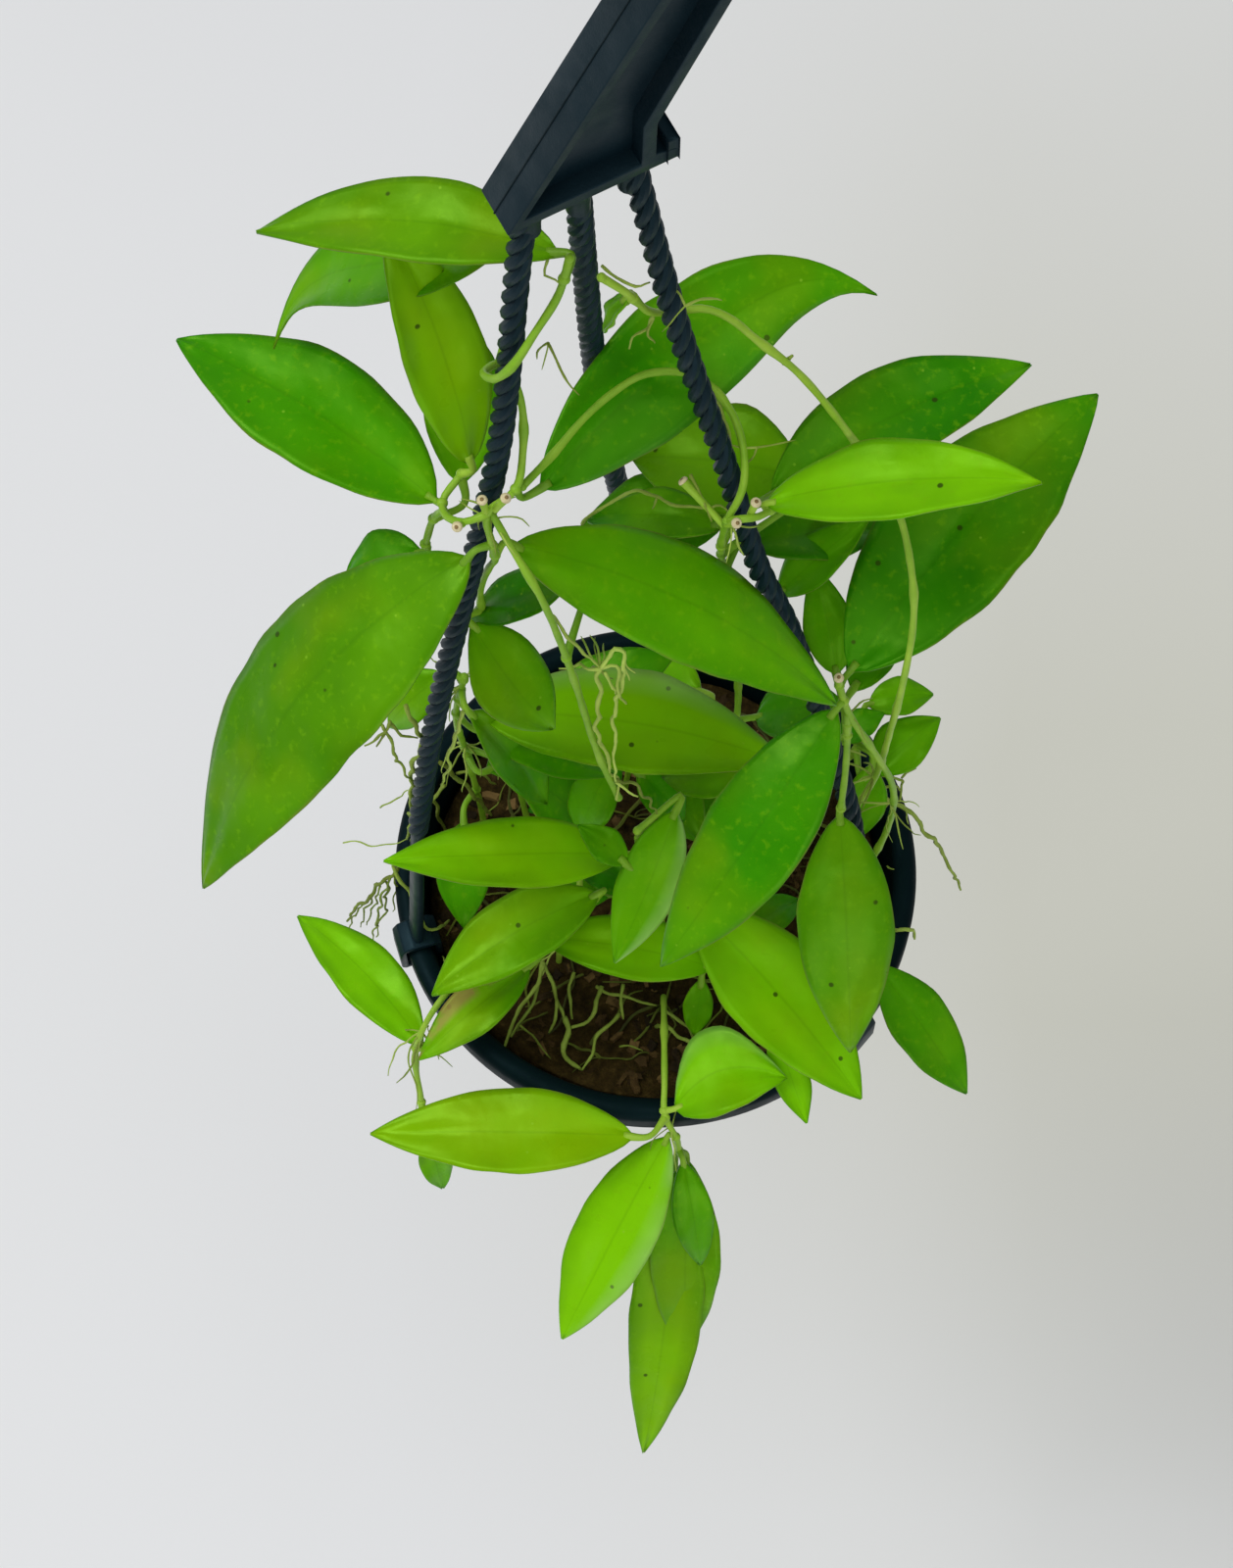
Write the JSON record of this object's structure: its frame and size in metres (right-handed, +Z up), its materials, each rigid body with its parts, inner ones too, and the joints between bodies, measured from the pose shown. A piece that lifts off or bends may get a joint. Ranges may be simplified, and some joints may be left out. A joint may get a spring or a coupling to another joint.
{
  "type": "potted climbing hoya in a hanging pot",
  "caption": "Climbing hoya with long pointed waxy leaves in a tapered hanging pot, its stems wound up a moulded hanger with rope-like arms, a flanged plate and a hook.",
  "frame": {"origin": "middle of the pot's flat underside", "axes": "+Z up along the pot's axis to the hook, -Y to the side that the picture is taken from, +X to the right in the picture"},
  "size_m": [0.2077, 0.2128, 0.5559],
  "materials": {
    "pot_plastic": "satin, charcoal",
    "hanger_plastic": "satin, charcoal navy",
    "bark_mix": "rough, dark, damp",
    "foliage_dark": "waxy, deep green",
    "foliage_bright": "waxy, lime to yellow-green"
  },
  "bodies": {
    "root": {"pot": "pot_plastic", "hanger": "hanger_plastic", "growing_mix": "bark_mix", "left_climber": "foliage_dark", "right_climber": "foliage_dark", "top_runner": "foliage_bright", "right_shoots": "foliage_dark", "inner_left_shoots": "foliage_dark", "centre_shoots": "foliage_bright", "left_shoots": "foliage_bright", "front_right_shoots": "foliage_bright", "right_edge_shoot": "foliage_bright", "front_trailer": "foliage_bright", "outer_left_trailer": "foliage_bright", "back_right_shoots": "foliage_bright", "back_shoots": "foliage_dark"}
  },
  "joints": []
}
